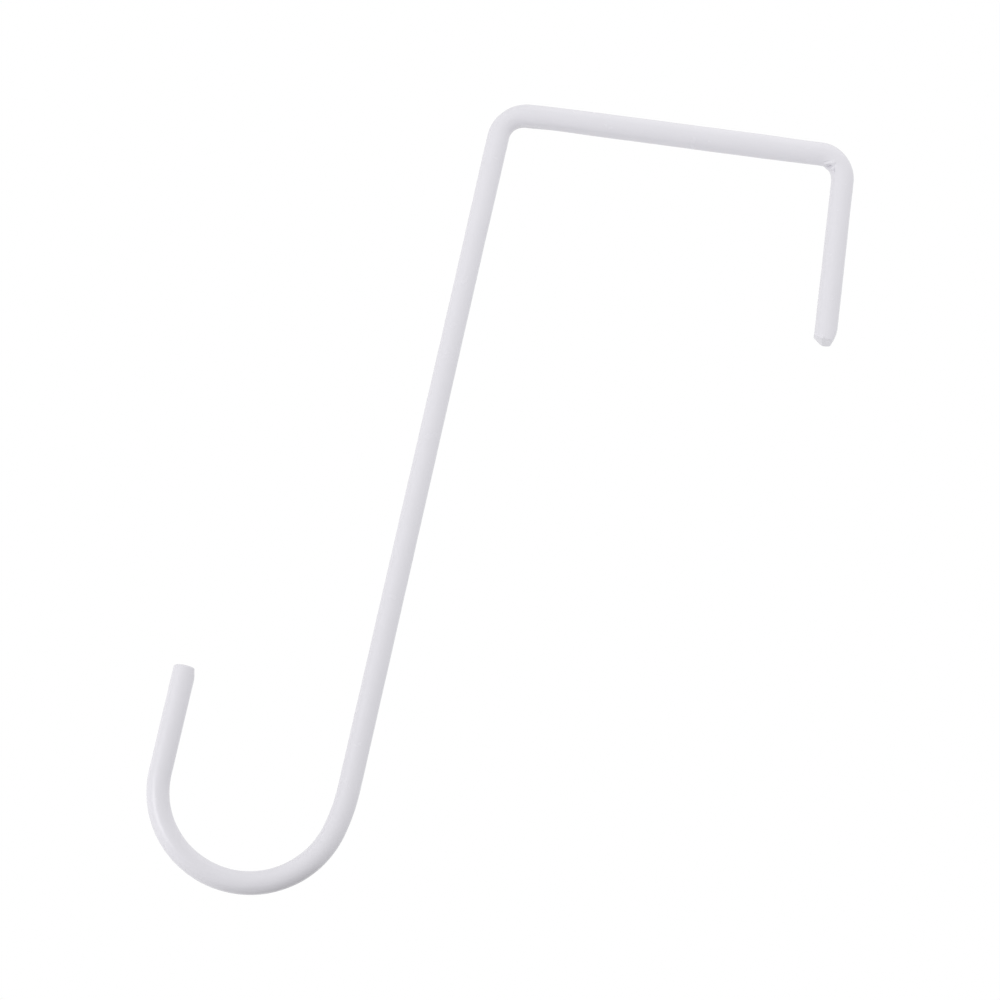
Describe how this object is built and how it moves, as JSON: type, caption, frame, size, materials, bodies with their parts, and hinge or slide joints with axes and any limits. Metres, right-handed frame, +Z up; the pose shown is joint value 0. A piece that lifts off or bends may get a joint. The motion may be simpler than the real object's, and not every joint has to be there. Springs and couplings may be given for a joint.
{
  "type": "fence hook",
  "caption": "Bent round wire hook: a square saddle hangs over the top of a fence, and a long leaning shank ends in an open round hook that carries a basket or pot.",
  "frame": {"origin": "middle of the saddle's gap, on the underside of the span, where the hook rests on the fence", "axes": "+X along the span from the shank to the fence leg, +Y square to the wire's plane, +Z up as the hook hangs"},
  "size_m": [0.1089, 0.004, 0.1476],
  "materials": {
    "coating": "smooth white dip coating on steel wire, semi-gloss, with a faint cool tint"
  },
  "bodies": {
    "root": {"hook": "coating"}
  },
  "joints": []
}
